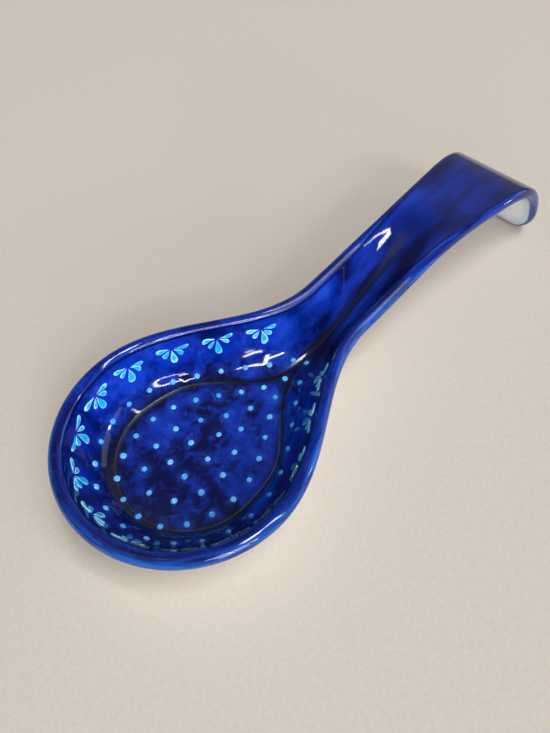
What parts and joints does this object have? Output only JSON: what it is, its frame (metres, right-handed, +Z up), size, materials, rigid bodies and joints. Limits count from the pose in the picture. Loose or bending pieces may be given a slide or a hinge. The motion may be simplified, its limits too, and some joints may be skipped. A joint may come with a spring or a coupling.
{
  "type": "spoon rest",
  "caption": "Glazed pottery spoon rest: a deep teardrop bowl for the spoon's head, a gutter, and an arched handle whose hooked end stands on the table.",
  "frame": {"origin": "centre of the foot ring's face on the table, which is under the middle of the bowl's round front", "axes": "+X along the handle, towards the hooked end; +Z up"},
  "size_m": [0.2574, 0.092, 0.0418],
  "materials": {
    "clay": "bare fired white clay, matte",
    "foot_clay": "bare turned clay with fine turning lines, matte",
    "blue_coat": "glossy cobalt glaze, mottled from near black pools to lighter clouds and brush streaks",
    "white_coat": "glossy clear glaze over white, with a faint blue tint near the lip",
    "pale_slip": "raised light blue slip under clear glaze, glossy",
    "turquoise_slip": "raised turquoise slip with near white edges under clear glaze, glossy"
  },
  "bodies": {
    "root": {"clay_body": "clay", "foot_ring": "foot_clay", "blue_glaze": "blue_coat", "white_glaze": "white_coat", "floor_dots": "pale_slip", "wall_dots": "pale_slip", "sprig_petals": "turquoise_slip"}
  },
  "joints": []
}
